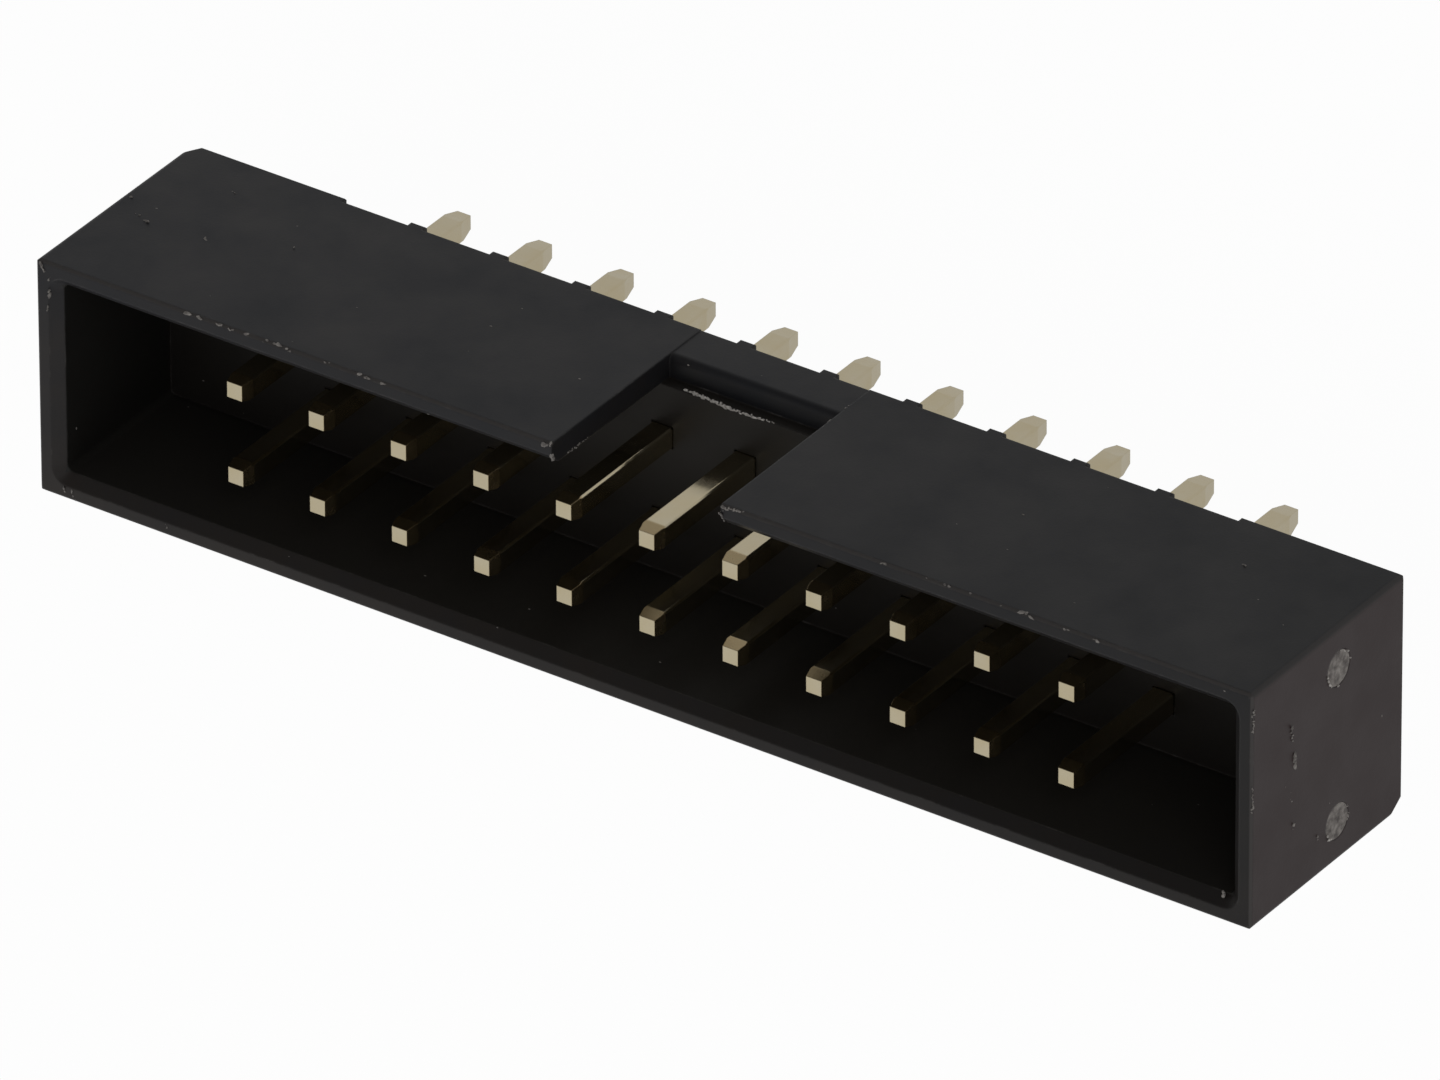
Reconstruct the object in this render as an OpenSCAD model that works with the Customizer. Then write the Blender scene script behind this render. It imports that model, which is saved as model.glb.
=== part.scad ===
// Straight box header for 2.00 mm pitch ribbon cable: a black moulded housing with a
// centre polarising notch, and two rows of square contact pins pressed through its floor.
// +Z points out of the mouth, +Y towards the notched wall and +X towards pins 1 and 2.
// The origin is the centre of the seating plane, where the standoffs meet the board.

/* [Contact grid] */
// Number of contacts in each of the two rows
columns = 11; // [4:1:22]
// Distance between neighbouring contacts in a row
pitch = 2; // [1.8:0.05:2.4]
// Distance between the two rows
row_spacing = 2; // [1.8:0.05:2.4]

/* [Housing] */
// Overall width across the two long walls
body_w = 5.45; // [5.2:0.05:6.4]
// Height of the rim above the seating plane
body_h = 5.4; // [4.8:0.05:7]
// Distance from the last contact's centre to the outside of the end wall
end_margin = 4.6; // [4:0.05:6]
// Thickness of the two long walls
side_wall = 0.53; // [0.4:0.01:0.7]
// Thickness of the two end walls
end_wall = 0.53; // [0.4:0.01:0.9]
// Height of the cavity floor above the seating plane
floor_z = 1.6; // [1.2:0.05:2.2]
// Radius of the four upright outer corners
corner_r = 0.12; // [0.05:0.01:0.25]
// Small bevel on the outer edges of the rim and of the base
edge_break = 0.05; // [0.02:0.01:0.1]

/* [Mouth] */
// Width of the lead-in bevel round the mouth, cut at 45 degrees
lead_in = 0.23; // [0.1:0.01:0.3]
// Radius of the four upright corners inside the cavity
cavity_r = 0.15; // [0.05:0.01:0.3]
// Width of the polarising notch
notch_w = 4.06; // [3:0.02:6]
// Drop from the cavity floor to the sill of the notch
sill_drop = 0.3; // [0.05:0.05:0.4]
// Radius along the outer edge of the notch sill
sill_r = 0.15; // [0.05:0.01:0.3]
// Depth of the witness step that the notch insert leaves below the sill
witness_step = 0.02; // [0.01:0.01:0.05]

/* [Base] */
// Height of the standoffs under the base
standoff_h = 0.18; // [0.1:0.01:0.4]
// Width of each standoff rib between two columns
rib_w = 0.35; // [0.2:0.01:0.6]
// Distance from the last contact's centre to the edge of the end standoff
pad_clear = 0.8; // [0.6:0.05:1.5]
// Size along X of the small facet on two opposite base corners
facet_x = 0.3; // [0.1:0.05:0.4]
// Size along Y of that facet
facet_y = 0.35; // [0.1:0.05:0.5]
// Size along Z of that facet
facet_z = 0.5; // [0.2:0.05:0.8]

/* [Gate marks] */
// Diameter of the two round gate marks on the end wall
gate_d = 0.8; // [0.4:0.05:1.2]
// Depth of the gate marks
gate_depth = 0.03; // [0.01:0.01:0.1]
// Distance between the centres of the gate marks
gate_spacing = 3.55; // [2:0.05:3.8]
// Height of the gate marks above the seating plane
gate_z = 2.35; // [1.2:0.05:3.5]

/* [Contact pin] */
// Side of the square contact wire
pin_w = 0.5; // [0.4:0.01:0.64]
// Gap on each side between a pin and its hole in the floor
pin_gap = 0.01; // [0.01:0.01:0.03]
// Bevel on the four long edges of the wire
pin_edge = 0.04; // [0.02:0.01:0.08]
// Distance of the mating tips below the rim
tip_recess = 0.35; // [0.2:0.05:1]
// Length of the solder tails below the seating plane
tail_len = 2.95; // [2:0.05:4.5]
// Length of the bevels on the mating tip
tip_taper = 0.3; // [0.2:0.05:0.8]
// Side of the flat end of the mating tip
tip_flat = 0.36; // [0.2:0.01:0.38]
// Length of the bevels on the end of the solder tail
tail_taper = 0.45; // [0.3:0.05:0.9]
// Side of the flat end of the solder tail
tail_flat = 0.32; // [0.2:0.01:0.38]

/* [Hidden] */
$fn = 48;
ROWS = 2;
PINS = columns * ROWS;
// Overreach of a cutting shape past the face that it cuts
cut = 1;

grid_l = (columns - 1) * pitch;
body_l = grid_l + 2 * end_margin;
cavity_l = body_l - 2 * end_wall;
cavity_w = body_w - 2 * side_wall;
pad_x = grid_l / 2 + pad_clear;
pin_hole = pin_w + 2 * pin_gap;
pin_top = body_h - tip_recess;
sill_z = floor_z - sill_drop;

// Contacts are numbered from the +X end, odd ones in the row beside the notch
function pin_x(i) = grid_l / 2 - floor((i - 1) / ROWS) * pitch;
function pin_y(i) = (i % 2 == 1 ? 1 : -1) * row_spacing / 2;
function pin_name(i) = str("pin_", i < 10 ? "0" : "", i);

// Rectangle standing on zero, with its four corners bevelled
function bevelled_outline(w, h, b) = [
    [-w / 2 + b, 0], [w / 2 - b, 0], [w / 2, b], [w / 2, h - b],
    [w / 2 - b, h], [-w / 2 + b, h], [-w / 2, h - b], [-w / 2, b]
];

// Stands an outline up, so that its second axis is Z, and extrudes it along Y
module along_y(length)
    rotate([90, 0, 0]) linear_extrude(length, center = true) children();

// Stands an outline up, so that its second axis is Z, and extrudes it along X
module along_x(length)
    rotate([90, 0, 90]) linear_extrude(length, center = true) children();

// Rectangle on the origin with round corners
module rounded_plan(l, w, r) {
    square([l - 2 * r, w], center = true);
    square([l, w - 2 * r], center = true);
    for (sx = [-1, 1], sy = [-1, 1])
        translate([sx * (l / 2 - r), sy * (w / 2 - r)]) circle(r);
}

// Outline that stands on zero and widens at 45 degrees up to height h
function flare_outline(w, h) = [[-w / 2, 0], [w / 2, 0], [w / 2 + h, h], [-w / 2 - h, h]];

// Block on that rounded plan, each side of which leans out at 45 degrees
module rounded_flare(l, w, r, h) {
    along_y(w - 2 * r) polygon(flare_outline(l, h));
    along_x(l - 2 * r) polygon(flare_outline(w, h));
    for (sx = [-1, 1], sy = [-1, 1])
        translate([sx * (l / 2 - r), sy * (w / 2 - r), 0]) cylinder(r1 = r, r2 = r + h, h = h);
}

// The solid block that the cavity is cut from: three outlines that meet
module body_block() intersection() {
    linear_extrude(body_h) rounded_plan(body_l, body_w, corner_r);
    along_y(body_w + cut) polygon(bevelled_outline(body_l, body_h, edge_break));
    along_x(body_l + cut) polygon(bevelled_outline(body_w, body_h, edge_break));
}

// Room for the ribbon cable's socket, with a bevelled mouth on all four sides
module cavity() {
    translate([0, 0, floor_z])
        linear_extrude(body_h - floor_z) rounded_plan(cavity_l, cavity_w, cavity_r);
    translate([0, 0, body_h - lead_in])
        rounded_flare(cavity_l, cavity_w, cavity_r, lead_in + cut);
}

// Polarising notch through one long wall, open at the rim. Its sill is a step below the
// cavity floor, and its insert leaves a shallow witness in the face under the sill.
module notch() {
    translate([-notch_w / 2, cavity_w / 2, sill_z])
        cube([notch_w, side_wall + cut, body_h - sill_z + cut]);
    sill_edge();
    translate([-notch_w / 2, body_w / 2 - witness_step, -cut])
        cube([notch_w, witness_step + cut, sill_z + cut]);
}

// What is taken off the sill's outer edge to leave it round
module sill_edge()
    translate([0, body_w / 2 - witness_step - sill_r, sill_z - sill_r])
        rotate([0, 90, 0]) linear_extrude(notch_w, center = true) difference() {
            translate([-sill_r - cut, 0]) square([sill_r + cut, sill_r + cut]);
            circle(sill_r);
        }

// Channels that let flux wash out between the standoff ribs and the end pads
module wash_channels() difference() {
    translate([-pad_x, -body_w / 2 - cut, -cut])
        cube([2 * pad_x, body_w + 2 * cut, standoff_h + cut]);
    for (k = [0:columns - 2])
        translate([(k + 0.5) * pitch - grid_l / 2 - rib_w / 2, -body_w / 2 - 2 * cut, -2 * cut])
            cube([rib_w, body_w + 4 * cut, standoff_h + 3 * cut]);
}

// Square holes through the floor, one for each contact
module pin_holes()
    for (i = [1:PINS])
        translate([pin_x(i), pin_y(i), floor_z / 2])
            cube([pin_hole, pin_hole, floor_z + 2 * cut], center = true);

// Two shallow round marks where the plastic entered the mould, on the +X end wall
module gate_marks()
    for (s = [-1, 1])
        translate([body_l / 2 - gate_depth, s * gate_spacing / 2, gate_z])
            rotate([0, 90, 0]) cylinder(d = gate_d, h = gate_depth + cut);

// Facet that meets the three edges of the -X, +Y base corner at its three sizes
module corner_facet() {
    slope = [-1 / facet_x, 1 / facet_y, -1 / facet_z];
    steep = norm(slope);
    depth = 1 / steep;
    translate([-body_l / 2, body_w / 2, 0])
        rotate([0, acos(slope.z / steep), atan2(slope.y, slope.x)])
            translate([-cut, -cut, -depth]) cube([2 * cut, 2 * cut, depth + cut]);
}

module housing() color("#2c2b2c") difference() {
    body_block();
    cavity();
    notch();
    wash_channels();
    pin_holes();
    gate_marks();
    corner_facet();
    rotate(180) corner_facet();
}

// Side view of a contact: a straight wire with a bevel at each end
function pin_outline() = [
    [-tail_flat / 2, -tail_len], [tail_flat / 2, -tail_len],
    [pin_w / 2, -tail_len + tail_taper], [pin_w / 2, pin_top - tip_taper],
    [tip_flat / 2, pin_top], [-tip_flat / 2, pin_top],
    [-pin_w / 2, pin_top - tip_taper], [-pin_w / 2, -tail_len + tail_taper]
];

// One contact pin: square wire with its long edges broken and both ends bevelled
module contact_pin(i)
    color("#d8cfb4") translate([pin_x(i), pin_y(i), 0]) intersection() {
        translate([0, 0, -tail_len]) linear_extrude(tail_len + pin_top)
            translate([0, -pin_w / 2]) polygon(bevelled_outline(pin_w, pin_w, pin_edge));
        along_y(pin_w) polygon(pin_outline());
        along_x(pin_w) polygon(pin_outline());
    }

housing();
for (i = [1:PINS])
    contact_pin(i);
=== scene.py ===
# Ribbon cable box header: a black moulded shroud and 22 plated square contacts,
# finished for display standing on its solder tails.
import math

import bmesh
import bpy
from mathutils import Matrix, Vector


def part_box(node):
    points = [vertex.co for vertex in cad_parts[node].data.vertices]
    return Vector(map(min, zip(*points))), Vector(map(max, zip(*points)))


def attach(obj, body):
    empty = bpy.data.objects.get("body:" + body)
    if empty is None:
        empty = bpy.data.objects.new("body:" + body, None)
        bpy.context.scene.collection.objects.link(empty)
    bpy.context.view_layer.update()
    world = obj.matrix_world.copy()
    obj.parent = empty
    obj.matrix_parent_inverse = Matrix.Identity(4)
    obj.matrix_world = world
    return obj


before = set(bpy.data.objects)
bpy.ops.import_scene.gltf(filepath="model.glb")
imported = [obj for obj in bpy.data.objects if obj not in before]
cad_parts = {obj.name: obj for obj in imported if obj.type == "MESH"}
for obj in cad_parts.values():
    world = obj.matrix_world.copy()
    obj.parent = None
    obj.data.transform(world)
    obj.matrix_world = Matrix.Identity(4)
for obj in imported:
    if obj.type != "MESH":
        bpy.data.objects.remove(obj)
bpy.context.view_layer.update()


# ---------------------------------------------------------------- camera
# A long lens looks down into the mouth from beside the notch, held so that the notched
# wall is uppermost and the solder tails point away.
MM = 0.001
VIEW_AZIMUTH = math.radians(137.57)
VIEW_ELEVATION = math.radians(44.32)
VIEW_DISTANCE = 523 * MM
LENS_LENGTH = 656
SENSOR_WIDTH = 36
VIEW_TARGET = Vector((-0.76, -1.14, 1.39)) * MM
UPPERMOST = Vector((0.004, 1, 0))

level = math.cos(VIEW_ELEVATION)
towards_camera = Vector((math.sin(VIEW_AZIMUTH) * level, -math.cos(VIEW_AZIMUTH) * level,
                         math.sin(VIEW_ELEVATION)))
right = UPPERMOST.cross(towards_camera).normalized()
upwards = towards_camera.cross(right)

camera = bpy.data.objects.new("camera", bpy.data.cameras.new("camera"))
camera.data.lens = LENS_LENGTH
camera.data.sensor_width = SENSOR_WIDTH
camera.data.clip_start = 0.1 * VIEW_DISTANCE
camera.data.clip_end = 10 * VIEW_DISTANCE
aim = Matrix((right, upwards, towards_camera)).transposed().to_4x4()
aim.translation = VIEW_TARGET + VIEW_DISTANCE * towards_camera
camera.matrix_world = aim
bpy.context.scene.collection.objects.link(camera)
bpy.context.scene.camera = camera


# ---------------------------------------------------------------- housing
# One shot of black glass-filled polyester from a spark-eroded tool. It gives a fine matte grain
# and soft outer edges rubbed paler in patches by other headers in the bag. A highlight is painted
# along the rim's outer edges and upright corners, a lighter, browner tone painted on the end wall
# stands for the light that falls on it, and painted light and shade fill the cavity.
HOUSING_LOW, HOUSING_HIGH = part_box("housing")
RIM_Z = HOUSING_HIGH.z
EDGE_BREAK = 0.05 * MM
CORNER_RADIUS = 0.12 * MM
WALL = 0.53 * MM
WALL_INSIDE = HOUSING_HIGH.y - WALL
END_INSIDE = HOUSING_HIGH.x - WALL
CAVITY_FLOOR = 1.6 * MM


def colour(hex_code):
    """Linear RGBA from an sRGB hex value."""
    channels = [int(hex_code[i:i + 2], 16) / 255 for i in (1, 3, 5)]
    return [c / 12.92 if c <= 0.04045 else ((c + 0.055) / 1.055) ** 2.4 for c in channels] + [1]


def grain(size_mm):
    """Scale of a pattern whose features are about this size in millimetres."""
    return 1 / (size_mm * MM)


def add(tree, kind, inputs=None, **settings):
    """Adds a node. A tuple among the inputs is a link from (node, output)."""
    node = tree.nodes.new(kind)
    for name, value in settings.items():
        setattr(node, name, value)
    for name, value in (inputs or {}).items():
        socket = node.inputs[name]
        if isinstance(value, tuple) and isinstance(value[0], bpy.types.Node):
            tree.links.new(value[0].outputs[value[1]], socket)
        else:
            socket.default_value = value
    return node


def new_material(name):
    """A material with an empty node tree."""
    material = bpy.data.materials.new(name)
    material.use_nodes = True
    material.node_tree.nodes.clear()
    return material, material.node_tree


def resin_tone(tree, where, axes):
    """Cloudy tone of the resin. It drifts from warm to cool across the part and fades towards the
    gated end, where a lighter, browner tone is painted on the end face alone for the light that
    falls on that face."""
    cloud = add(tree, "ShaderNodeTexNoise",
                {"Vector": where, "Scale": grain(1.6), "Detail": 4.0, "Roughness": 0.6})
    cooler = add(tree, "ShaderNodeMapRange",
                 {"Value": (axes, "Y"), "From Min": HOUSING_LOW.y, "From Max": HOUSING_HIGH.y,
                  "To Min": -0.3, "To Max": 0.3})
    mottle = add(tree, "ShaderNodeMath", {0: (cloud, "Fac"), 1: (cooler, "Result")},
                 operation="ADD", use_clamp=True)
    tone = add(tree, "ShaderNodeMix", {"Factor": (mottle, "Value"), "A": colour("#2a2521"),
                                       "B": colour("#1e1f23")}, data_type="RGBA")
    fading = add(tree, "ShaderNodeMapRange",
                 {"Value": (axes, "X"), "From Min": HOUSING_LOW.x, "From Max": HOUSING_HIGH.x,
                  "To Min": 1.35, "To Max": 0.7})
    drift = add(tree, "ShaderNodeVectorMath", {0: (tone, "Result"), "Scale": (fading, "Result")},
                operation="SCALE")
    # painted light: a lighter, browner tone on the end face alone, for the light that falls on
    # that face
    on_end_face = add(tree, "ShaderNodeMapRange",
                     {"Value": (axes, "X"), "From Min": HOUSING_HIGH.x - 0.3 * EDGE_BREAK,
                      "From Max": HOUSING_HIGH.x - 0.1 * EDGE_BREAK})
    painted_end_light = add(tree, "ShaderNodeMix", {"Factor": (on_end_face, "Result"), "A": (drift, "Vector"),
                                        "B": colour("#362b2b")}, data_type="RGBA")
    return cloud, painted_end_light


def painted_cavity_light_and_shade(tree, axes, across, along, outside):
    """Painted light and shade inside the cavity: the two long walls painted palest as if lit,
    the floor painted darker and the two end walls painted blackest as shade."""
    inner_y = add(tree, "ShaderNodeMath", {0: (across, "Value"), 1: WALL_INSIDE + 0.01 * MM},
                  operation="LESS_THAN")
    inner_x = add(tree, "ShaderNodeMath", {0: (along, "Value"), 1: END_INSIDE + 0.01 * MM},
                  operation="LESS_THAN")
    inner = add(tree, "ShaderNodeMath", {0: (inner_y, "Value"), 1: (inner_x, "Value")},
                operation="MULTIPLY")
    near_end = add(tree, "ShaderNodeMapRange", {"Value": (along, "Value"),
                                                "From Min": END_INSIDE - 0.15 * MM,
                                                "From Max": END_INSIDE})
    # painted light and shade: the long walls paler as if lit, the end walls darker as shade
    walls = add(tree, "ShaderNodeMix", {"Factor": (near_end, "Result"), "A": colour("#32302d"),
                                        "B": colour("#21201e")}, data_type="RGBA")
    above_floor = add(tree, "ShaderNodeMapRange", {"Value": (axes, "Z"),
                                                   "From Min": CAVITY_FLOOR,
                                                   "From Max": CAVITY_FLOOR + 0.2 * MM})
    cavity_light_and_shade = add(tree, "ShaderNodeMix", {"Factor": (above_floor, "Result"),
                                        "A": colour("#272421"), "B": (walls, "Result")},
                data_type="RGBA")
    return add(tree, "ShaderNodeMix", {"Factor": (inner, "Value"), "A": (outside, "Result"),
                                       "B": (cavity_light_and_shade, "Result")}, data_type="RGBA")


def painted_edge_highlight_mask(tree, axes, across, along):
    """Mask of a painted highlight: 1 on the outer edges of the rim and on the upright corners, 0
    elsewhere.
    """
    side_edge = add(tree, "ShaderNodeMapRange",
                    {"Value": (across, "Value"), "From Min": HOUSING_HIGH.y - 1.4 * EDGE_BREAK,
                     "From Max": HOUSING_HIGH.y - 0.8 * EDGE_BREAK})
    end_edge = add(tree, "ShaderNodeMapRange",
                   {"Value": (along, "Value"), "From Min": HOUSING_HIGH.x - 1.4 * EDGE_BREAK,
                    "From Max": HOUSING_HIGH.x - 0.8 * EDGE_BREAK})
    top_edge = add(tree, "ShaderNodeMapRange",
                   {"Value": (axes, "Z"), "From Min": RIM_Z - 1.4 * EDGE_BREAK,
                    "From Max": RIM_Z - 0.8 * EDGE_BREAK})
    outer = add(tree, "ShaderNodeMath", {0: (side_edge, "Result"), 1: (end_edge, "Result")},
                operation="MAXIMUM")
    rim_edge = add(tree, "ShaderNodeMath", {0: (outer, "Value"), 1: (top_edge, "Result")},
                   operation="MULTIPLY")
    side_corner = add(tree, "ShaderNodeMapRange",
                      {"Value": (across, "Value"), "From Min": HOUSING_HIGH.y - CORNER_RADIUS,
                       "From Max": HOUSING_HIGH.y - 0.6 * CORNER_RADIUS})
    end_corner = add(tree, "ShaderNodeMapRange",
                     {"Value": (along, "Value"), "From Min": HOUSING_HIGH.x - CORNER_RADIUS,
                      "From Max": HOUSING_HIGH.x - 0.6 * CORNER_RADIUS, "To Max": 0.6})
    corner = add(tree, "ShaderNodeMath", {0: (side_corner, "Result"), 1: (end_corner, "Result")},
                 operation="MULTIPLY")
    return add(tree, "ShaderNodeMath", {0: (rim_edge, "Value"), 1: (corner, "Value")},
               operation="MAXIMUM")


def scuffed_edges(tree, where, soft):
    """Patches along every sharp edge, which is found where the rounded normal turns away."""
    flat = add(tree, "ShaderNodeNewGeometry")
    turn = add(tree, "ShaderNodeVectorMath", {0: (soft, "Normal"), 1: (flat, "True Normal")},
               operation="DOT_PRODUCT")
    on_edge = add(tree, "ShaderNodeMapRange", {"Value": (turn, "Value"), "From Min": 0.995,
                                               "From Max": 0.90})
    patch = add(tree, "ShaderNodeTexNoise",
                {"Vector": where, "Scale": grain(0.55), "Detail": 5.0, "Roughness": 0.7})
    worn = add(tree, "ShaderNodeMapRange", {"Value": (patch, "Fac"), "From Min": 0.53,
                                            "From Max": 0.72})
    return add(tree, "ShaderNodeMath", {0: (on_edge, "Result"), 1: (worn, "Result")},
               operation="MULTIPLY")


def moulded_polyester():
    """Black to the eye but never flat: cloudy, finely pitted, with paler edges that are partly
    rubbed wear and partly painted highlight, and with painted light and shade in the cavity and on
    the end wall.
    """
    material, tree = new_material("black_glass_filled_polyester")
    where = (add(tree, "ShaderNodeTexCoord"), "Object")
    axes = add(tree, "ShaderNodeSeparateXYZ", {"Vector": where})
    across = add(tree, "ShaderNodeMath", {0: (axes, "Y")}, operation="ABSOLUTE")
    along = add(tree, "ShaderNodeMath", {0: (axes, "X")}, operation="ABSOLUTE")
    soft = add(tree, "ShaderNodeBevel", {"Radius": 0.06 * MM}, samples=6)

    cloud, outside = resin_tone(tree, where, axes)
    # painted light and shade inside the cavity
    black = painted_cavity_light_and_shade(tree, axes, across, along, outside)
    highlit_edges = painted_edge_highlight_mask(tree, axes, across, along)
    # painted highlight: a paler tone on the rim's outer edges and upright corners
    with_edge_highlight = add(tree, "ShaderNodeMix", {"Factor": (highlit_edges, "Value"), "A": (black, "Result"),
                                           "B": colour("#474443")}, data_type="RGBA")
    wear = scuffed_edges(tree, where, soft)
    rubbed = add(tree, "ShaderNodeMix", {"Factor": (wear, "Value"), "A": (with_edge_highlight, "Result"),
                                         "B": colour("#5d5a58")}, data_type="RGBA")

    # grain of the eroded tool, drawn a little coarser than the real one so that it shows
    pits = add(tree, "ShaderNodeTexNoise",
               {"Vector": where, "Scale": grain(0.07), "Detail": 3.0, "Roughness": 0.6})
    matte = add(tree, "ShaderNodeMapRange", {"Value": (cloud, "Fac"), "From Min": 0.3,
                                             "From Max": 0.7, "To Min": 0.38, "To Max": 0.5})
    bump = add(tree, "ShaderNodeBump", {"Height": (pits, "Fac"), "Strength": 0.35,
                                        "Distance": 0.006 * MM, "Normal": (soft, "Normal")})
    skin = add(tree, "ShaderNodeBsdfPrincipled",
               {"Base Color": (rubbed, "Result"), "Roughness": (matte, "Result"),
                "Normal": (bump, "Normal"), "IOR": 1.5, "Specular IOR Level": 0.27})
    add(tree, "ShaderNodeOutputMaterial", {"Surface": (skin, "BSDF")})
    return material


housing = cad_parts["housing"]
housing.data.materials.clear()
housing.data.materials.append(moulded_polyester())


# ---------------------------------------------------------------- rim nicks
# Where headers knock together in the bag, the rim's outer edges tear into short pale
# slivers of whitened plastic, still part of the moulding and about a tenth of a millimetre
# thick. Each nick below has its place along the notched wall in millimetres and its strength.
NICK_SIZE = 0.09 * MM
NICKS_ALONG_NOTCHED_WALL = (
    (-10.9, 1.3), (-10.6, 0.7), (-10.1, 0.8), (-9.8, 0.6), (-9.4, 0.9), (-9.0, 0.9), (-8.7, 0.9),
    (-8.4, 0.6), (-7.5, 0.6), (-6.7, 0.8), (-6.5, 0.6), (-6.1, 0.6), (5.9, 0.6), (6.9, 0.5),
    (7.4, 0.6), (7.9, 0.6), (8.7, 0.6), (9.2, 0.8), (9.4, 1.2), (10.2, 0.7), (10.9, 0.6))


def torn_polyester(name, thin, thick):
    """Black polyester whitens where it tears: pale, dry and rough. The two tones are those
    of a thin whitened layer and of a thick one."""
    material, tree = new_material(name)
    where = (add(tree, "ShaderNodeTexCoord"), "Object")
    patch = add(tree, "ShaderNodeTexNoise",
                {"Vector": where, "Scale": grain(0.12), "Detail": 4.0, "Roughness": 0.7})
    spread = add(tree, "ShaderNodeMapRange", {"Value": (patch, "Fac"), "From Min": 0.35,
                                              "From Max": 0.65})
    tone = add(tree, "ShaderNodeMix", {"Factor": (spread, "Result"), "A": colour(thin),
                                       "B": colour(thick)}, data_type="RGBA")
    bump = add(tree, "ShaderNodeBump", {"Height": (patch, "Fac"), "Strength": 0.6,
                                        "Distance": 0.02 * MM})
    dry = add(tree, "ShaderNodeMapRange", {"Value": (patch, "Fac"), "From Min": 0.35,
                                           "From Max": 0.65, "To Min": 0.85, "To Max": 0.55})
    skin = add(tree, "ShaderNodeBsdfPrincipled",
               {"Base Color": (tone, "Result"), "Roughness": (dry, "Result"),
                "Normal": (bump, "Normal"), "IOR": 1.5, "Specular IOR Level": 0.3})
    add(tree, "ShaderNodeOutputMaterial", {"Surface": (skin, "BSDF")})
    return material


whitened = torn_polyester("torn_whitened_polyester", "#625e5c", "#a29d98")


def new_node_tree(name, sockets):
    """A geometry tree with these named inputs, its input node and one geometry output."""
    tree = bpy.data.node_groups.new(name, "GeometryNodeTree")
    tree.interface.new_socket("Result", in_out="OUTPUT", socket_type="NodeSocketGeometry")
    for socket_name, kind in sockets:
        tree.interface.new_socket(socket_name, in_out="INPUT", socket_type=kind)
    return tree, add(tree, "NodeGroupInput")


def sliver_tree():
    """Ragged slivers strung along the edges of a mesh, as large as its strength says."""
    tree, sizes = new_node_tree("slivers_along_edges", (
        ("Lines", "NodeSocketGeometry"), ("Spacing", "NodeSocketFloat"),
        ("Length", "NodeSocketFloat"), ("Thickness", "NodeSocketFloat"),
        ("Share kept", "NodeSocketFloat"), ("Seed", "NodeSocketInt"),
        ("Material", "NodeSocketMaterial")))
    line = add(tree, "GeometryNodeMeshToCurve", {"Mesh": (sizes, "Lines")})
    beads = add(tree, "GeometryNodeCurveToPoints",
                {"Curve": (line, "Curve"), "Length": (sizes, "Spacing")}, mode="LENGTH")
    kept = add(tree, "FunctionNodeRandomValue",
               {"Probability": (sizes, "Share kept"), "Seed": (sizes, "Seed")},
               data_type="BOOLEAN")
    stray = add(tree, "FunctionNodeRandomValue",
                {0: (-0.3, -0.3, -0.3), 1: (0.3, 0.3, 0.3), "Seed": (sizes, "Seed")},
                data_type="FLOAT_VECTOR")
    step = add(tree, "ShaderNodeVectorMath", {0: (stray, 0), "Scale": (sizes, "Thickness")},
               operation="SCALE")
    strewn = add(tree, "GeometryNodeSetPosition",
                 {"Geometry": (beads, "Points"), "Offset": (step, "Vector")})
    chip = add(tree, "GeometryNodeMeshIcoSphere", {"Radius": 0.5, "Subdivisions": 1})
    girth = add(tree, "ShaderNodeCombineXYZ", {"X": (sizes, "Thickness"),
                                               "Y": (sizes, "Thickness"),
                                               "Z": (sizes, "Length")})
    share = add(tree, "FunctionNodeRandomValue",
                {0: (0.45, 0.45, 0.3), 1: (1, 1, 1), "Seed": (sizes, "Seed")},
                data_type="FLOAT_VECTOR")
    size = add(tree, "ShaderNodeVectorMath", {0: (girth, "Vector"), 1: (share, 0)},
               operation="MULTIPLY")
    strength = add(tree, "GeometryNodeInputNamedAttribute", {"Name": "strength"},
                   data_type="FLOAT")
    graded = add(tree, "ShaderNodeVectorMath", {0: (size, "Vector"),
                                                "Scale": (strength, "Attribute")},
                 operation="SCALE")
    placed = add(tree, "GeometryNodeInstanceOnPoints",
                 {"Points": (strewn, "Geometry"), "Selection": (kept, 3),
                  "Instance": (chip, "Mesh"), "Rotation": (beads, "Rotation"),
                  "Scale": (graded, "Vector")})
    tilt = add(tree, "FunctionNodeRandomValue",
               {0: (-0.35, -0.35, -3), 1: (0.35, 0.35, 3), "Seed": (sizes, "Seed")},
               data_type="FLOAT_VECTOR")
    tilted = add(tree, "GeometryNodeRotateInstances",
                 {"Instances": (placed, "Instances"), "Rotation": (tilt, 0)})
    real = add(tree, "GeometryNodeRealizeInstances", {"Geometry": (tilted, "Instances")})
    rough = add(tree, "ShaderNodeTexNoise", {"Scale": grain(0.05), "Detail": 2.0})
    pull = add(tree, "ShaderNodeVectorMath", {0: (rough, "Color"), 1: (0.5, 0.5, 0.5)},
               operation="SUBTRACT")
    ragged = add(tree, "ShaderNodeVectorMath", {0: (pull, "Vector"),
                                                "Scale": (sizes, "Thickness")},
                 operation="SCALE")
    torn = add(tree, "GeometryNodeSetPosition", {"Geometry": (real, "Geometry"),
                                                 "Offset": (ragged, "Vector")})
    painted = add(tree, "GeometryNodeSetMaterial", {"Geometry": (torn, "Geometry"),
                                                    "Material": (sizes, "Material")})
    add(tree, "NodeGroupOutput", {"Result": (painted, "Geometry")})
    return tree


slivers = sliver_tree()


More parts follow.
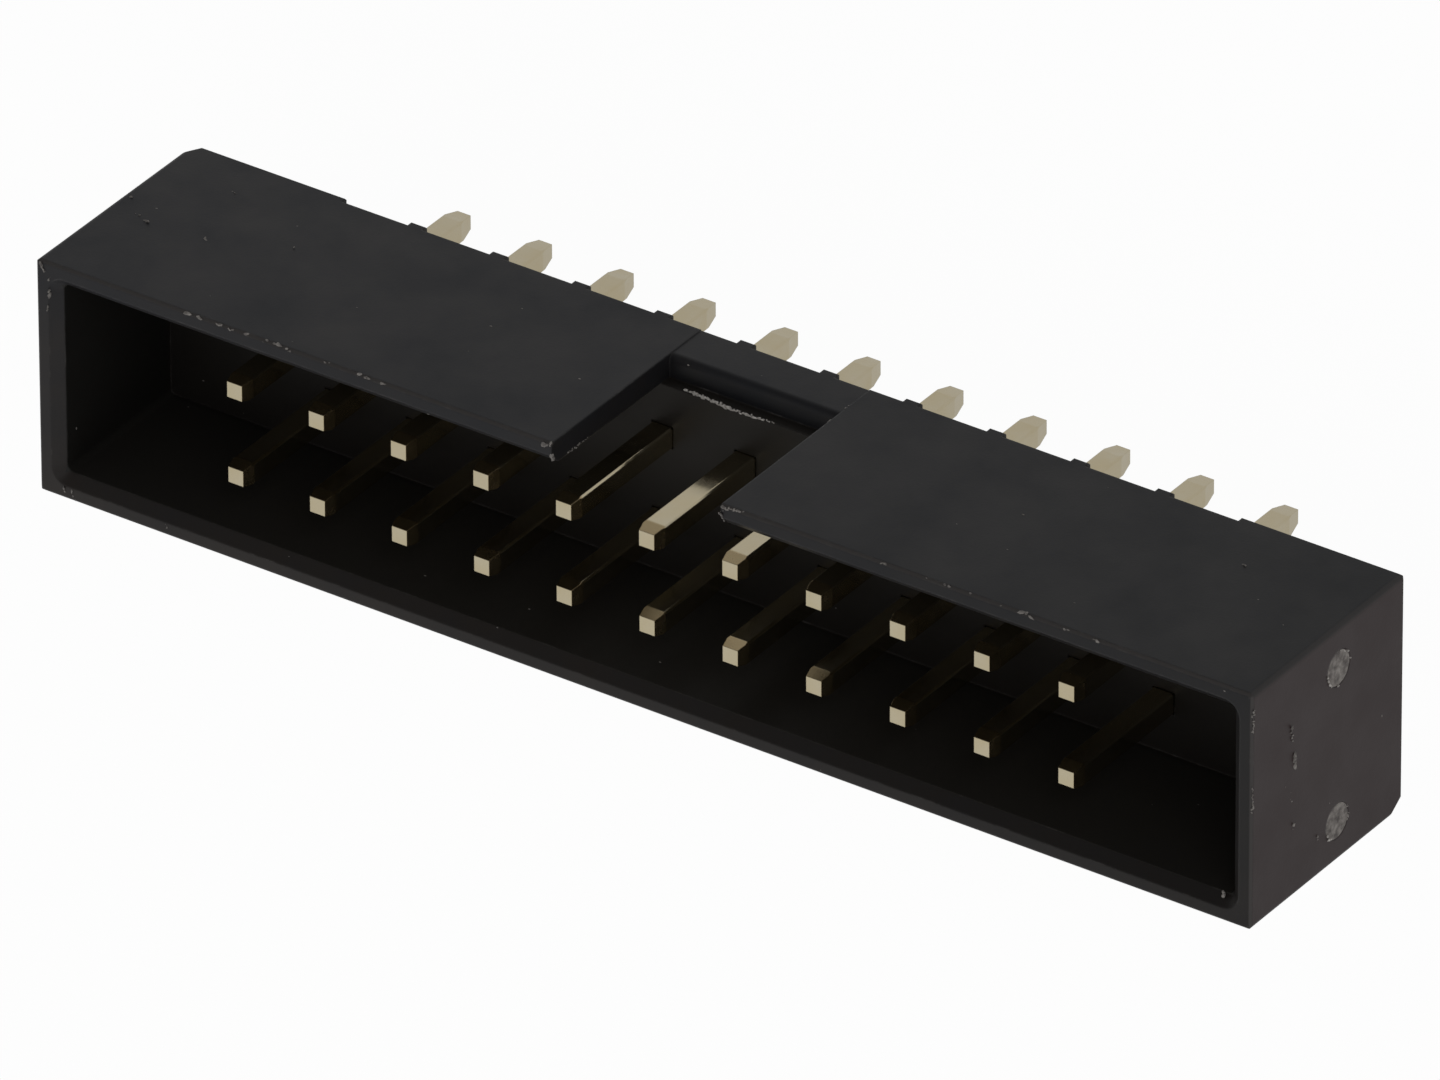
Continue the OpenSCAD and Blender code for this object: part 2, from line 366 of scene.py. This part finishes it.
def made_by_nodes(name, mesh, tree, values):
    """Runs a geometry tree on a mesh and keeps the result as a plain piece."""
    maker = bpy.data.objects.new(name + "_maker", mesh)
    bpy.context.scene.collection.objects.link(maker)
    modifier = maker.modifiers.new("maker", "NODES")
    modifier.node_group = tree
    for socket_name, value in values.items():
        modifier[tree.interface.items_tree[socket_name].identifier] = value
    evaluated = maker.evaluated_get(bpy.context.evaluated_depsgraph_get())
    result = bpy.data.meshes.new_from_object(evaluated)
    maker.modifiers.remove(modifier)
    bpy.data.objects.remove(maker)
    result.name = name
    piece = bpy.data.objects.new(name, result)
    bpy.context.scene.collection.objects.link(piece)
    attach(piece, "root")
    return piece


def torn_edge(name, stretches, spacing, length, thickness, share_kept, seed, torn=whitened):
    """Slivers along straight stretches, each given by its two ends and its strength."""
    mesh = bpy.data.meshes.new(name + "_lines")
    ends = [point for start, end, _ in stretches for point in (start, end)]
    mesh.from_pydata(ends, [(2 * i, 2 * i + 1) for i in range(len(stretches))], [])
    strength = mesh.attributes.new("strength", "FLOAT", "POINT")
    for i, (_, _, value) in enumerate(stretches):
        strength.data[2 * i].value = value
        strength.data[2 * i + 1].value = value
    return made_by_nodes(name, mesh, slivers,
                         {"Spacing": spacing, "Length": length, "Thickness": thickness,
                          "Share kept": share_kept, "Seed": seed, "Material": torn})


edge_y = HOUSING_HIGH.y - 0.5 * EDGE_BREAK
edge_z = RIM_Z - 0.5 * EDGE_BREAK
nicks = [(Vector((x * MM - 0.4 * NICK_SIZE, edge_y, edge_z)),
          Vector((x * MM + 0.4 * NICK_SIZE, edge_y, edge_z)), strength)
         for x, strength in NICKS_ALONG_NOTCHED_WALL]
torn_edge("rim_nicks", nicks, spacing=0.05 * MM, length=2.2 * NICK_SIZE,
          thickness=1.1 * NICK_SIZE, share_kept=1.0, seed=3)


# ---------------------------------------------------------------- notch flash and burrs
# The insert that forms the notch leaves a torn white skin along the step behind the sill, and
# lifts small burrs where its two sides run out through the rim.
NOTCH_HALF = 2.03 * MM
FLASH_LINE = ((-1.45, 0.05), (-1.0, 0.03), (-0.6, 0.0), (-0.35, -0.02), (0.1, -0.02),
              (0.45, 0.0), (0.7, 0.0))
FLASH_STRENGTH = (1.3, 1.0, 1.4, 0.8, 0.9, 0.5)


def on_step(x_mm, drop_mm):
    """A point on the face of the step behind the sill, this far below the cavity floor."""
    return Vector((x_mm * MM, WALL_INSIDE, CAVITY_FLOOR - drop_mm * MM))


# freshly torn plastic is whiter than the rubbed nicks
fresh = torn_polyester("freshly_torn_polyester", "#928d88", "#d9d5d0")
flash_points = [on_step(x, drop) for x, drop in FLASH_LINE]
flash = list(zip(flash_points, flash_points[1:], FLASH_STRENGTH))
torn_edge("sill_flash", flash, spacing=0.02 * MM, length=0.13 * MM, thickness=0.058 * MM,
          share_kept=0.85, seed=8, torn=fresh)


def on_notch_corner(side, points_mm, strength):
    """Joins points that lie this far out, back and down from a rim corner of the notch."""
    corner = Vector((side * NOTCH_HALF, HOUSING_HIGH.y, RIM_Z))
    places = [corner + Vector((side * out, -back, -down)) * MM for out, back, down in points_mm]
    return [(start, end, strength) for start, end in zip(places, places[1:])]


burrs = on_notch_corner(-1, [(0.02, 0.03, 0.0), (0.2, 0.1, 0.0)], 1.3)
burrs += on_notch_corner(-1, [(0.02, 0.28, 0.02), (0.0, 0.42, 0.05)], 1.3)
burrs += on_notch_corner(1, [(0.5, 0.03, 0.02), (0.05, 0.06, 0.0), (0.0, 0.2, 0.0),
                             (0.06, 0.38, 0.02)], 0.7)
burrs += on_notch_corner(-1, [(0.0, 0.5, 0.55), (0.0, 0.5, 1.25)], 0.5)
burrs += on_notch_corner(1, [(0.0, 0.01, 3.75), (0.0, 0.01, 3.85)], 0.6)
burrs += on_notch_corner(1, [(0.0, 0.01, 4.35), (0.0, 0.01, 4.45)], 0.5)
torn_edge("notch_burrs", burrs, spacing=0.04 * MM, length=0.14 * MM, thickness=0.08 * MM,
          share_kept=0.9, seed=5)


# ---------------------------------------------------------------- gate scars
# Two gates were snapped off the end wall. Each leaves a frosted disc of broken plastic in
# its recess, with a brighter torn lip low down.
GATE_RADIUS = 0.39 * MM
GATE_DEPTH = 0.03 * MM
GATE_OFFSET = 1.775 * MM
GATE_Z = 2.35 * MM
GATE_PLACES = [Vector((HOUSING_HIGH.x - 0.5 * GATE_DEPTH, side * GATE_OFFSET, GATE_Z))
               for side in (-1, 1)]
LIP_CHORDS = 6


def scar_tree():
    """A thin disc at each point of a mesh, square to X, with a broken face."""
    tree, sizes = new_node_tree("broken_discs", (
        ("Places", "NodeSocketGeometry"), ("Radius", "NodeSocketFloat"),
        ("Depth", "NodeSocketFloat"), ("Roughness", "NodeSocketFloat"),
        ("Material", "NodeSocketMaterial")))
    disc = add(tree, "GeometryNodeMeshCylinder",
               {"Vertices": 40, "Side Segments": 1, "Fill Segments": 12,
                "Radius": (sizes, "Radius"), "Depth": (sizes, "Depth")})
    turned = add(tree, "GeometryNodeTransform",
                 {"Geometry": (disc, "Mesh"), "Rotation": (0, math.pi / 2, 0)})
    placed = add(tree, "GeometryNodeInstanceOnPoints",
                 {"Points": (sizes, "Places"), "Instance": (turned, "Geometry")})
    real = add(tree, "GeometryNodeRealizeInstances", {"Geometry": (placed, "Instances")})
    hackle = add(tree, "ShaderNodeTexNoise", {"Scale": grain(0.09), "Detail": 3.0})
    centred = add(tree, "ShaderNodeMath", {0: (hackle, "Fac"), 1: 0.5}, operation="SUBTRACT")
    height = add(tree, "ShaderNodeMath", {0: (centred, "Value"), 1: (sizes, "Roughness")},
                 operation="MULTIPLY")
    outward = add(tree, "ShaderNodeCombineXYZ", {"X": (height, "Value")})
    broken = add(tree, "GeometryNodeSetPosition", {"Geometry": (real, "Geometry"),
                                                   "Offset": (outward, "Vector")})
    painted = add(tree, "GeometryNodeSetMaterial", {"Geometry": (broken, "Geometry"),
                                                    "Material": (sizes, "Material")})
    add(tree, "NodeGroupOutput", {"Result": (painted, "Geometry")})
    return tree


def frosted_polyester():
    """The snapped face of a gate: grey, dry and crossed by paler ridges."""
    material, tree = new_material("snapped_frosted_polyester")
    where = (add(tree, "ShaderNodeTexCoord"), "Object")
    ridge = add(tree, "ShaderNodeTexNoise",
                {"Vector": where, "Scale": grain(0.2), "Detail": 4.0, "Roughness": 0.6})
    spread = add(tree, "ShaderNodeMapRange", {"Value": (ridge, "Fac"), "From Min": 0.35,
                                              "From Max": 0.7})
    tone = add(tree, "ShaderNodeMix", {"Factor": (spread, "Result"), "A": colour("#5f5a58"),
                                       "B": colour("#a39d98")}, data_type="RGBA")
    bump = add(tree, "ShaderNodeBump", {"Height": (ridge, "Fac"), "Strength": 0.7,
                                        "Distance": 0.02 * MM})
    dry = add(tree, "ShaderNodeMapRange", {"Value": (ridge, "Fac"), "From Min": 0.4,
                                           "From Max": 0.7, "To Min": 0.8, "To Max": 0.5})
    skin = add(tree, "ShaderNodeBsdfPrincipled",
               {"Base Color": (tone, "Result"), "Roughness": (dry, "Result"),
                "Normal": (bump, "Normal"), "IOR": 1.5, "Specular IOR Level": 0.3})
    add(tree, "ShaderNodeOutputMaterial", {"Surface": (skin, "BSDF")})
    return material


gate_mesh = bpy.data.meshes.new("gate_places")
gate_mesh.from_pydata(GATE_PLACES, [], [])
made_by_nodes("gate_scars", gate_mesh, scar_tree(),
              {"Radius": GATE_RADIUS, "Depth": 0.8 * GATE_DEPTH, "Roughness": 0.9 * GATE_DEPTH,
               "Material": frosted_polyester()})


def lip_stretches(centre, first_deg, last_deg, strength):
    """Short chords round a gate, with angles counted from +Y towards +Z."""
    sweep_deg = last_deg - first_deg
    angles = [math.radians(first_deg + sweep_deg * i / LIP_CHORDS) for i in range(LIP_CHORDS + 1)]
    points = [Vector((HOUSING_HIGH.x, centre.y + GATE_RADIUS * math.cos(a),
                      centre.z + GATE_RADIUS * math.sin(a))) for a in angles]
    return [(start, end, strength) for start, end in zip(points, points[1:])]


plain_side_gate, notch_side_gate = GATE_PLACES
lips = lip_stretches(notch_side_gate, 95, 190, 1.2)
lips += lip_stretches(notch_side_gate, 260, 350, 0.7)
lips += lip_stretches(plain_side_gate, 120, 190, 1.2)
lips += lip_stretches(plain_side_gate, 240, 300, 0.6)
torn_edge("gate_lips", lips, spacing=0.06 * MM, length=0.11 * MM, thickness=0.07 * MM,
          share_kept=0.5, seed=11, torn=fresh)


# ---------------------------------------------------------------- scuffs and specks
# Short scratches on the end wall beside the rim, chips at the rim's corners and on the
# notched wall, and a few crumbs of plastic that cling to the faces. All places and lengths
# are in millimetres, and the last number of each mark is its strength.
END_SCUFFS = ((1.1, 4.0, 0.35, 0.7), (0.4, 3.88, 0.32, 1.3), (-0.35, 4.0, 0.2, 0.6),
              (-1.05, 3.93, 0.1, 0.8), (-1.8, 3.05, 0.1, 0.9), (2.1, 5.37, 0.55, 0.6),
              (0.3, 5.37, 0.55, 0.5))
RIM_CHIPS = ((-14.45, 2.62, 5.4, 1.3), (-14.4, 2.5, 5.4, 1.0), (-14.27, 2.36, 5.4, 0.8),
             (-14.27, 2.02, 5.4, 1.3), (-14.32, 1.66, 5.4, 0.8), (-14.0, -2.5, 5.4, 0.9),
             (-13.8, -2.55, 5.4, 0.9), (-11.5, -2.5, 5.4, 0.8), (13.85, -2.2, 5.25, 1.2))
WALL_CHIPS = ((-13.9, 2.9, 0.6), (-13.6, 3.0, 0.9), (-12.8, 1.1, 0.9), (-12.2, 2.9, 0.9),
              (-14.4, 2.4, 0.8), (-10.5, 2.2, 0.6), (11.8, 1.5, 0.6))
CHIP_REACH = 0.035


def scuff(place_mm, reach_mm, strength):
    """A mark that reaches this far to each side of its place."""
    place, reach = Vector(place_mm), Vector(reach_mm)
    return ((place - reach) * MM, (place + reach) * MM, strength)


END_FACE_MM = HOUSING_HIGH.x / MM
SIDE_FACE_MM = HOUSING_HIGH.y / MM
marks = [scuff((END_FACE_MM, y, z), (0, 0.5 * length, 0), strength)
         for y, z, length, strength in END_SCUFFS]
marks += [scuff((x, y, z), (0, CHIP_REACH, 0), strength) for x, y, z, strength in RIM_CHIPS]
marks += [scuff((x, SIDE_FACE_MM, z), (CHIP_REACH, 0, 0), strength)
          for x, z, strength in WALL_CHIPS]
torn_edge("scuffs", marks, spacing=0.05 * MM, length=0.14 * MM, thickness=0.08 * MM,
          share_kept=1.0, seed=4)


def speck_tree():
    """Flat crumbs scattered over the faces of a mesh, so many to the square metre."""
    tree, sizes = new_node_tree("crumbs_on_faces", (
        ("Faces", "NodeSocketGeometry"), ("Density", "NodeSocketFloat"),
        ("Smallest", "NodeSocketFloat"), ("Largest", "NodeSocketFloat"),
        ("Seed", "NodeSocketInt"), ("Material", "NodeSocketMaterial")))
    spots = add(tree, "GeometryNodeDistributePointsOnFaces",
                {"Mesh": (sizes, "Faces"), "Density": (sizes, "Density"),
                 "Seed": (sizes, "Seed")})
    chip = add(tree, "GeometryNodeMeshIcoSphere", {"Radius": 0.5, "Subdivisions": 1})
    flat_chip = add(tree, "GeometryNodeTransform",
                    {"Geometry": (chip, "Mesh"), "Scale": (1.2, 0.7, 0.4)})
    size = add(tree, "FunctionNodeRandomValue",
               {2: (sizes, "Smallest"), 3: (sizes, "Largest"), "Seed": (sizes, "Seed")},
               data_type="FLOAT")
    placed = add(tree, "GeometryNodeInstanceOnPoints",
                 {"Points": (spots, "Points"), "Instance": (flat_chip, "Geometry"),
                  "Rotation": (spots, "Rotation"), "Scale": (size, 1)})
    real = add(tree, "GeometryNodeRealizeInstances", {"Geometry": (placed, "Instances")})
    painted = add(tree, "GeometryNodeSetMaterial", {"Geometry": (real, "Geometry"),
                                                    "Material": (sizes, "Material")})
    add(tree, "NodeGroupOutput", {"Result": (painted, "Geometry")})
    return tree


# the crumbs need the housing's faces joined up, so a copy of its loose triangles is merged
shell = bmesh.new()
shell.from_mesh(housing.data)
bmesh.ops.remove_doubles(shell, verts=shell.verts, dist=1e-7)
shell_mesh = bpy.data.meshes.new("housing_faces")
shell.to_mesh(shell_mesh)
shell.free()
made_by_nodes("specks", shell_mesh, speck_tree(),
              {"Density": 0.12 / (MM * MM), "Smallest": 0.02 * MM, "Largest": 0.06 * MM,
               "Seed": 6, "Material": whitened})


# ---------------------------------------------------------------- contacts
# Half-millimetre square phosphor bronze wire, drawn smooth and plated with a thin pale
# coat, then coined to a blunt point at both ends and pressed through the housing's floor.
# The coined bevels are browner and duller, because the plating is thinner there.
PIN_NAMES = sorted(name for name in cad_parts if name.startswith("pin_"))
TIP_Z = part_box(PIN_NAMES[0])[1].z
TIP_BEVEL = 0.3 * MM


def plated_wire():
    """Bright pale gold with faint drawing streaks, which mirrors the studio and the plastic."""
    material, tree = new_material("pale_plated_phosphor_bronze")
    place = add(tree, "ShaderNodeTexCoord")
    where = (place, "Object")
    axes = add(tree, "ShaderNodeSeparateXYZ", {"Vector": where})
    drawn = add(tree, "ShaderNodeMapping", {"Vector": where, "Scale": (1, 1, 0.06)})
    streak = add(tree, "ShaderNodeTexNoise",
                 {"Vector": (drawn, "Vector"), "Scale": grain(0.05), "Detail": 3.0})
    cloud = add(tree, "ShaderNodeTexNoise",
                {"Vector": where, "Scale": grain(0.5), "Detail": 3.0})
    tone = add(tree, "ShaderNodeMix", {"Factor": (cloud, "Fac"), "A": colour("#cbbc97"),
                                       "B": colour("#d3cab2")}, data_type="RGBA")

    # coined bevels at the mating tip, but not its flat end
    flat = add(tree, "ShaderNodeNewGeometry")
    facing = add(tree, "ShaderNodeSeparateXYZ", {"Vector": (flat, "True Normal")})
    not_end = add(tree, "ShaderNodeMath", {0: (facing, "Z"), 1: 0.8}, operation="LESS_THAN")
    coined = add(tree, "ShaderNodeMapRange",
                 {"Value": (axes, "Z"), "From Min": TIP_Z - 1.15 * TIP_BEVEL,
                  "From Max": TIP_Z - 0.95 * TIP_BEVEL})
    bevel = add(tree, "ShaderNodeMath", {0: (coined, "Result"), 1: (not_end, "Value")},
                operation="MULTIPLY")
    browned = add(tree, "ShaderNodeMix", {"Factor": (bevel, "Value"), "A": (tone, "Result"),
                                          "B": colour("#bba883")}, data_type="RGBA")

    soft = add(tree, "ShaderNodeBevel", {"Radius": 0.025 * MM}, samples=6)
    bump = add(tree, "ShaderNodeBump", {"Height": (streak, "Fac"), "Strength": 0.3,
                                        "Distance": 0.002 * MM, "Normal": (soft, "Normal")})
    sheen = add(tree, "ShaderNodeMapRange", {"Value": (cloud, "Fac"), "From Min": 0.3,
                                             "From Max": 0.7, "To Min": 0.09, "To Max": 0.17})
    dull = add(tree, "ShaderNodeMath", {0: (bevel, "Value"), 1: 0.12, 2: (sheen, "Result")},
               operation="MULTIPLY_ADD")
    metal = add(tree, "ShaderNodeBsdfPrincipled",
                {"Base Color": (browned, "Result"), "Metallic": 0.99,
                 "Roughness": (dull, "Value"), "Normal": (bump, "Normal")})
    add(tree, "ShaderNodeOutputMaterial", {"Surface": (metal, "BSDF")})
    return material


wire_plating = plated_wire()
for name in PIN_NAMES:
    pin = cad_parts[name]
    pin.data.materials.clear()
    pin.data.materials.append(wire_plating)


# ---------------------------------------------------------------- studio
# A pale seamless floor that the solder tails stand on, a soft lamp and a plain room that
# is lit on the side away from the notch and falls off towards the notched side.
FLOOR_Z = min(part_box(name)[0].z for name in PIN_NAMES)
FLOOR_HALF = 1.5


def seamless_white():
    """Pale matte floor, seen as clean white with a faint shadow of the part. What mirrors it
    sees a dimmer sheet that falls off away from the notched wall."""
    material, tree = new_material("seamless_white_floor")
    path = add(tree, "ShaderNodeLightPath")
    matte = add(tree, "ShaderNodeBsdfDiffuse", {"Color": colour("#f2f2f0")})
    seen = add(tree, "ShaderNodeEmission", {"Color": (1, 1, 1, 1), "Strength": 1.0})
    far = add(tree, "ShaderNodeSeparateXYZ",
              {"Vector": (add(tree, "ShaderNodeTexCoord"), "Object")})
    falloff = add(tree, "ShaderNodeMapRange", {"Value": (far, "Y"), "From Min": 8 * MM,
                                               "From Max": 30 * MM, "To Min": 0.56,
                                               "To Max": 0.25})
    mirrored = add(tree, "ShaderNodeEmission", {"Color": (1, 1, 1, 1),
                                                "Strength": (falloff, "Result")})
    share = add(tree, "ShaderNodeMath", {0: (path, "Is Camera Ray"), 1: 0.97},
                operation="MULTIPLY")
    direct = add(tree, "ShaderNodeMixShader", {0: (share, "Value"), 1: (matte, "BSDF"),
                                               2: (seen, "Emission")})
    mix = add(tree, "ShaderNodeMixShader", {0: (path, "Is Glossy Ray"), 1: (direct, "Shader"),
                                            2: (mirrored, "Emission")})
    add(tree, "ShaderNodeOutputMaterial", {"Surface": (mix, "Shader")})
    return material


floor_mesh = bpy.data.meshes.new("floor")
floor_mesh.from_pydata([(x, y, FLOOR_Z) for x, y in
                        ((-FLOOR_HALF, -FLOOR_HALF), (FLOOR_HALF, -FLOOR_HALF),
                         (FLOOR_HALF, FLOOR_HALF), (-FLOOR_HALF, FLOOR_HALF))], [], [(0, 1, 2, 3)])
floor_mesh.materials.append(seamless_white())
floor = bpy.data.objects.new("floor", floor_mesh)
bpy.context.scene.collection.objects.link(floor)


# the square lamp faces the part from beside the notch
lamp_place = Vector((300, 300, 300)) * MM
lamp = bpy.data.lights.new("side_lamp", "AREA")
lamp.size = 300 * MM
lamp.energy = 0.25
lamp_object = bpy.data.objects.new("side_lamp", lamp)
lamp_object.location = lamp_place
lamp_object.rotation_euler = lamp_place.to_track_quat("Z", "Y").to_euler()
bpy.context.scene.collection.objects.link(lamp_object)

world = bpy.data.worlds.new("studio")
bpy.context.scene.world = world
world.use_nodes = True
room = world.node_tree
room.nodes.clear()
direction = add(room, "ShaderNodeSeparateXYZ",
                {"Vector": (add(room, "ShaderNodeTexCoord"), "Generated")})
falloff = add(room, "ShaderNodeMapRange", {"Value": (direction, "Y"), "From Min": -0.35,
                                           "From Max": 0.55, "To Min": 0.66, "To Max": 0.14})
dim = add(room, "ShaderNodeBackground", {"Color": (1, 1, 1, 1), "Strength": (falloff, "Result")})
white = add(room, "ShaderNodeBackground", {"Color": (1, 1, 1, 1), "Strength": 1.0})
shown = add(room, "ShaderNodeMixShader", {0: (add(room, "ShaderNodeLightPath"), "Is Camera Ray"),
                                          1: (dim, "Background"), 2: (white, "Background")})
add(room, "ShaderNodeOutputWorld", {"Surface": (shown, "Shader")})

bpy.context.scene.view_settings.view_transform = "Standard"
